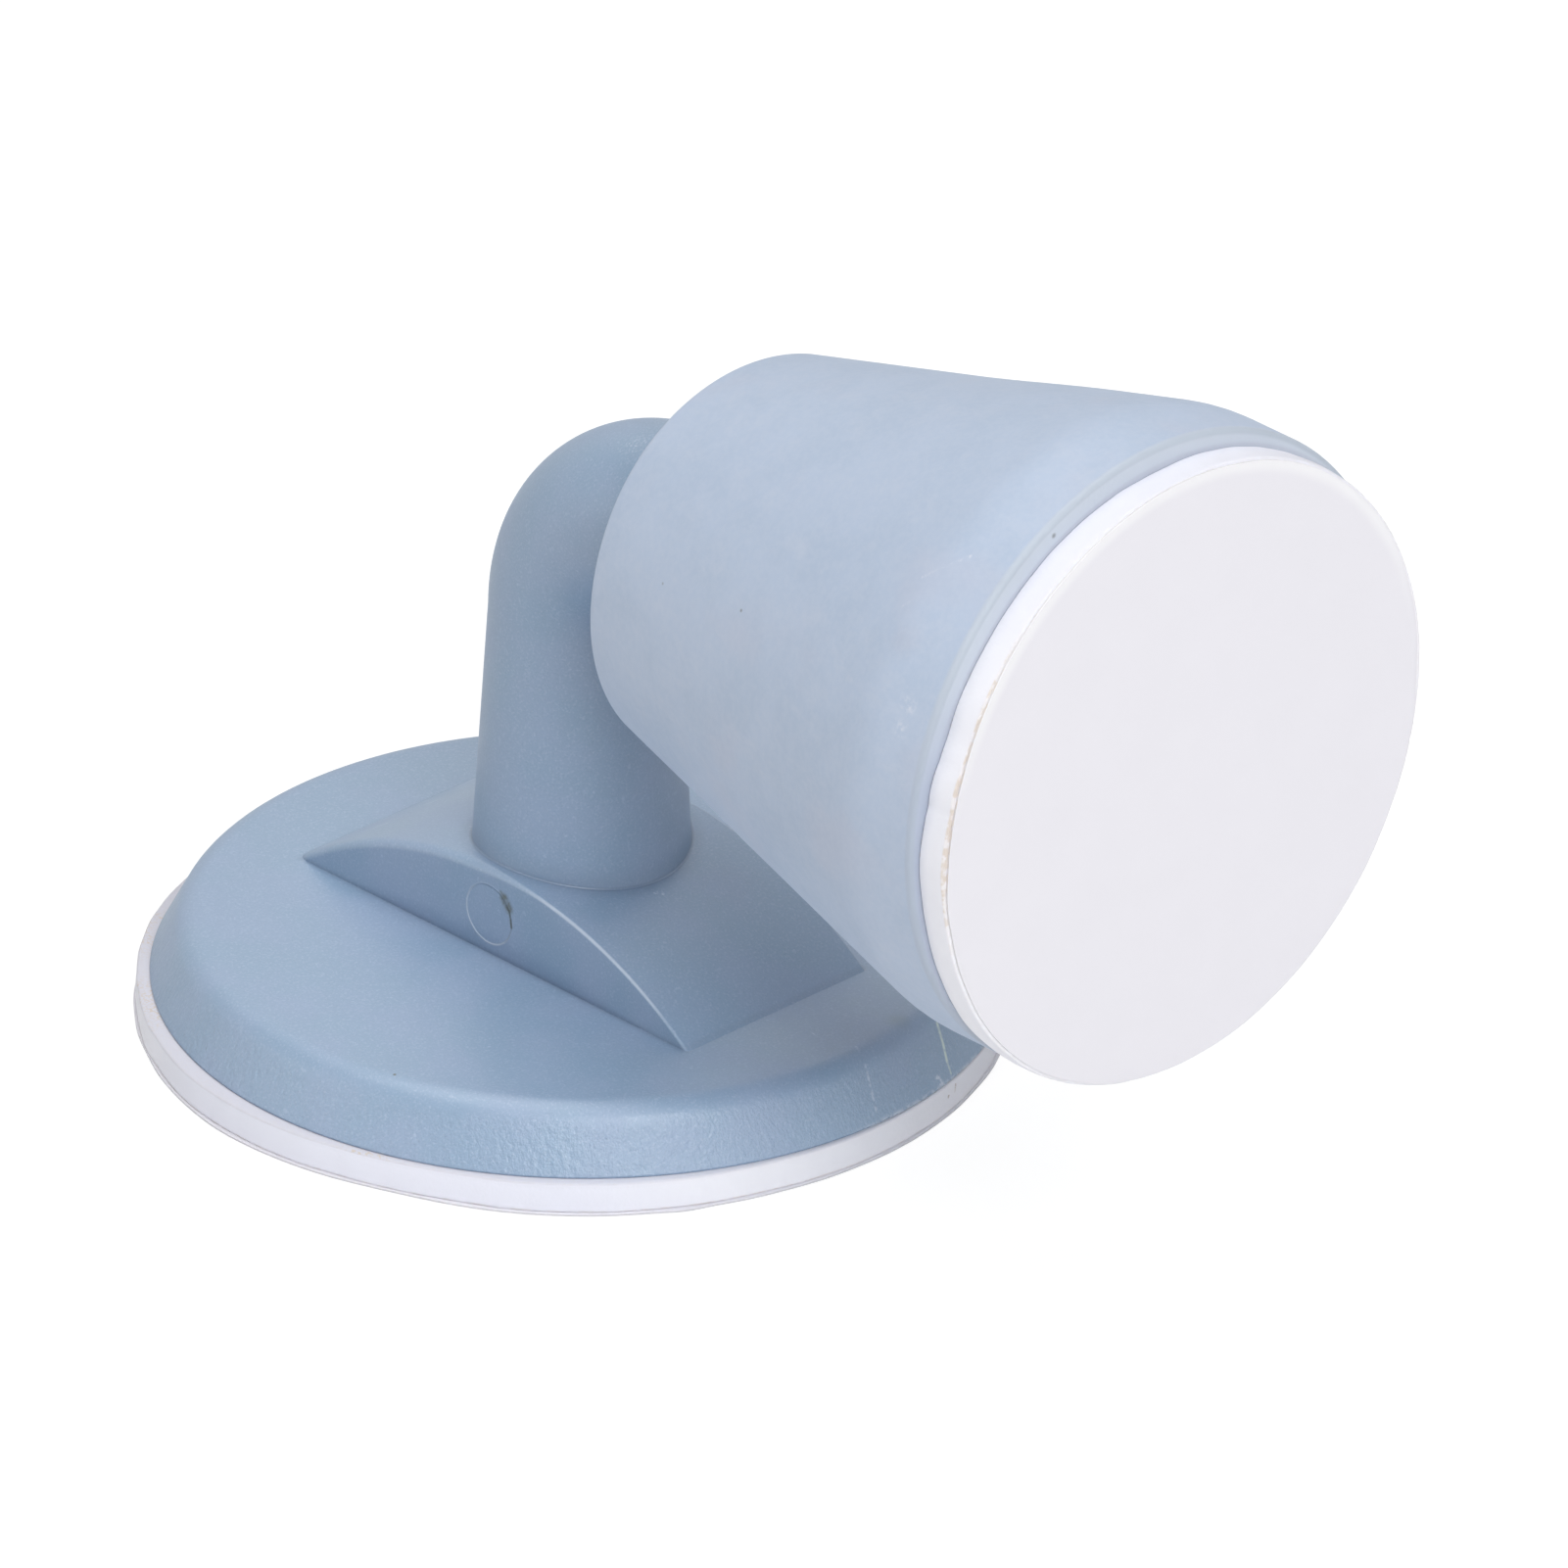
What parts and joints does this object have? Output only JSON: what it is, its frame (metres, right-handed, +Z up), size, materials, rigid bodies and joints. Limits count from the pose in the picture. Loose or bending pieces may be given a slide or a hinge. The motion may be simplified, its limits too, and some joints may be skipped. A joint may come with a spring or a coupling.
{
  "type": "plug-in door stop",
  "caption": "Stick-on door stop: a round base with an elbow arm whose stud plugs into a soft rubber cone-shaped catch; both halves have adhesive foam discs with release liners.",
  "frame": {"origin": "centre of the plate's underside, on the outer face of the base's release liner", "axes": "+Z up out of the base disc; +X the way the arm and the catch point; Y across, the part being all but symmetric about the XZ plane"},
  "size_m": [0.0727, 0.0503, 0.0531],
  "materials": {
    "base_plastic": "satin moulded polypropylene, greyish steel blue, fine speckle",
    "catch_rubber": "soft matte rubber, pale greyish blue, lightly scuffed",
    "adhesive_foam": "white closed-cell foam tape, a thin tan line of adhesive at its faces",
    "release_liner": "smooth siliconised release paper, pale grey"
  },
  "bodies": {
    "base": {"base_moulding": "base_plastic", "base_foam_pad": "adhesive_foam", "base_release_liner": "release_liner"},
    "catch": {"bumper_catch": "catch_rubber", "face_foam_pad": "adhesive_foam", "face_release_liner": "release_liner"}
  },
  "joints": [
    {"name": "catch_pull_off", "type": "slide", "parent": "base", "child": "catch", "axis": [1, 0, 0], "range_m": [0, 0.02]}
  ]
}
